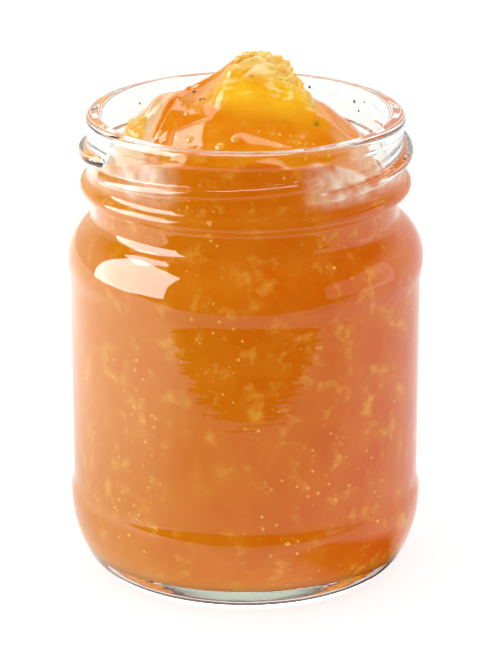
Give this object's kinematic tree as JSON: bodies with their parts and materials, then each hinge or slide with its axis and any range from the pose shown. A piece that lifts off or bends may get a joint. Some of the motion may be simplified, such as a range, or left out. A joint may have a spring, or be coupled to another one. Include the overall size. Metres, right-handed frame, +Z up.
{
  "type": "jar of apricot jam",
  "caption": "Open clear glass jar with a four-lug neck, filled with orange apricot jam, a scoop of jam and fruit standing in its mouth.",
  "frame": {"origin": "centre of the ring that the jar stands on", "axes": "+Z up along the jar's axis, -Y towards the side shown in front"},
  "size_m": [0.07, 0.07, 0.1053],
  "materials": {
    "glass": "polished",
    "jam": "wet",
    "fruit": "wet"
  },
  "bodies": {
    "root": {"jar_glass": "glass", "jam": "jam", "apricot_piece": "fruit", "apricot_piece_left": "fruit"}
  },
  "joints": []
}
